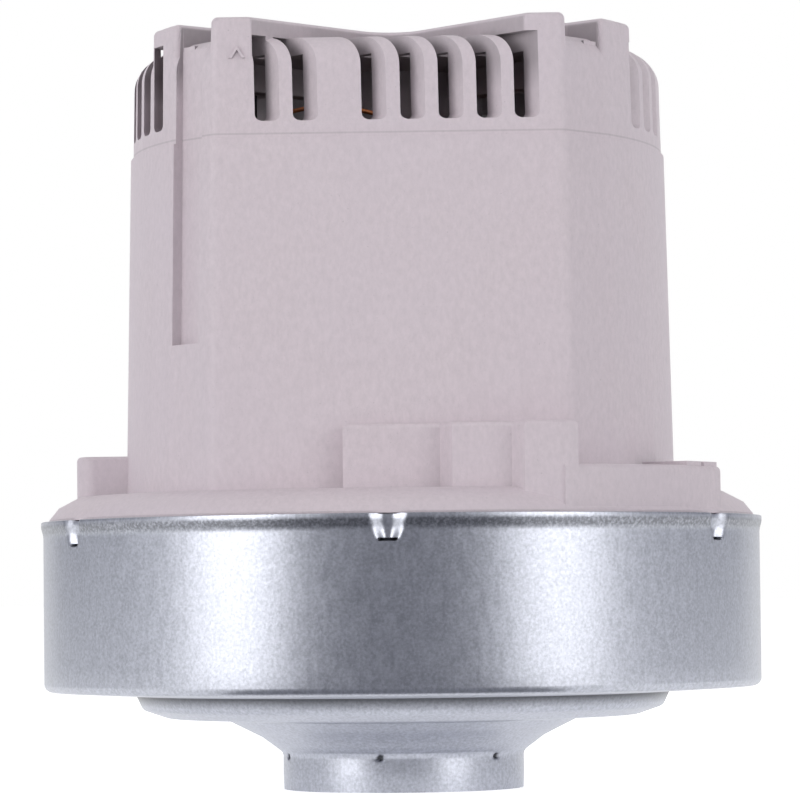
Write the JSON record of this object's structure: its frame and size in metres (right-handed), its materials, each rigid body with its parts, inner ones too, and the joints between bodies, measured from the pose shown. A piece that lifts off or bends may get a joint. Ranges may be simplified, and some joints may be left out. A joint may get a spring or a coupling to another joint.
{
  "type": "vacuum motor unit",
  "caption": "Through-flow vacuum cleaner motor: stepped sheet-steel fan shroud with a flared inlet neck under a vented moulded housing.",
  "frame": {"origin": "centre of the inlet neck's lower edge, where the part stands", "axes": "+Z along the shaft towards the vented crown, -Y towards the stepped block on the flange, +X to its right"},
  "size_m": [0.1318, 0.1318, 0.1352],
  "materials": {
    "zinc_plated_steel": "bright zinc plating on drawn sheet, fine upright draw lines",
    "moulded_housing": "pale pinkish grey thermoset moulding, fine mottled matte surface",
    "black_plastic": "black glass-filled moulding",
    "impeller_aluminium": "rolled sheet, satin",
    "plated_fastener": "zinc plated",
    "ground_steel": "ground",
    "bearing_steel": "polished",
    "shield_steel": "pressed sheet",
    "bearing_rubber": "matte black",
    "cast_alloy": "as cast",
    "lamination_steel": "stamped laminations, oiled",
    "insulation_plastic": "off-white moulding",
    "winding_copper": "enamelled copper wire",
    "commutator_resin": "brown moulding compound",
    "commutator_copper": "turned copper",
    "brush_carbon": "electrographite, slightly shiny",
    "guide_brass": "folded brass strip",
    "spring_steel": "drawn wire",
    "holder_plastic": "grey moulding",
    "terminal_brass": "plain brass"
  },
  "bodies": {
    "root": {"fan_shroud": "zinc_plated_steel", "inlet_seal_ring": "black_plastic", "lower_bearing_outer_ring": "bearing_steel", "lower_bearing_shields": "shield_steel", "upper_bearing_outer_ring": "bearing_steel", "upper_bearing_shields": "shield_steel", "upper_bearing_cup": "bearing_rubber", "wave_washer": "shield_steel", "diffuser": "black_plastic", "diffuser_screws": "plated_fastener", "bearing_bridge": "cast_alloy", "bridge_screws": "plated_fastener", "motor_housing": "moulded_housing", "stator_core": "lamination_steel", "stator_insulation": "insulation_plastic", "field_coil_a": "winding_copper", "field_coil_b": "winding_copper", "stator_screws": "plated_fastener", "brush_guide_a": "guide_brass", "brush_guide_b": "guide_brass", "brush_spring_a": "spring_steel", "brush_spring_b": "spring_steel", "brush_holder_a": "holder_plastic", "brush_holder_b": "holder_plastic", "brush_holder_screws": "plated_fastener", "terminal_tabs": "terminal_brass"},
    "rotor": {"motor_shaft": "ground_steel", "impeller_front_disc": "impeller_aluminium", "impeller_back_disc": "impeller_aluminium", "impeller_blades": "impeller_aluminium", "impeller_nut": "plated_fastener", "impeller_washer": "plated_fastener", "impeller_hub_washer": "plated_fastener", "spacer_sleeve": "ground_steel", "lower_bearing_inner_ring": "bearing_steel", "upper_bearing_inner_ring": "bearing_steel", "armature_core": "lamination_steel", "armature_winding": "winding_copper", "commutator_hub": "commutator_resin", "commutator_bars": "commutator_copper"},
    "lower_cage": {"lower_bearing_balls": "bearing_steel"},
    "upper_cage": {"upper_bearing_balls": "bearing_steel"},
    "brush_a": {"carbon_brush_a": "brush_carbon"},
    "brush_b": {"carbon_brush_b": "brush_carbon"}
  },
  "joints": [
    {"name": "rotor_spin", "type": "hinge", "parent": "root", "child": "rotor", "pos_m": [0, 0, 0.045], "axis": [0, 0, 1], "continuous": true},
    {"name": "lower_cage_spin", "type": "hinge", "parent": "root", "child": "lower_cage", "pos_m": [0, 0, 0.0455], "axis": [0, 0, 1], "continuous": true},
    {"name": "upper_cage_spin", "type": "hinge", "parent": "root", "child": "upper_cage", "pos_m": [0, 0, 0.1245], "axis": [0, 0, 1], "continuous": true},
    {"name": "brush_a_slide", "type": "slide", "parent": "root", "child": "brush_a", "axis": [1, 0, 0], "range_m": [0, 0.005], "stiffness_N_per_m": 60, "springref_m": -0.004, "deforming": ["brush_spring_a"]},
    {"name": "brush_b_slide", "type": "slide", "parent": "root", "child": "brush_b", "axis": [-1, 0, 0], "range_m": [0, 0.005], "stiffness_N_per_m": 60, "springref_m": -0.004, "deforming": ["brush_spring_b"]}
  ],
  "couplings": [
    {"joint": "lower_cage_spin", "follows": "rotor_spin", "ratio": 0.38},
    {"joint": "upper_cage_spin", "follows": "rotor_spin", "ratio": 0.38}
  ]
}
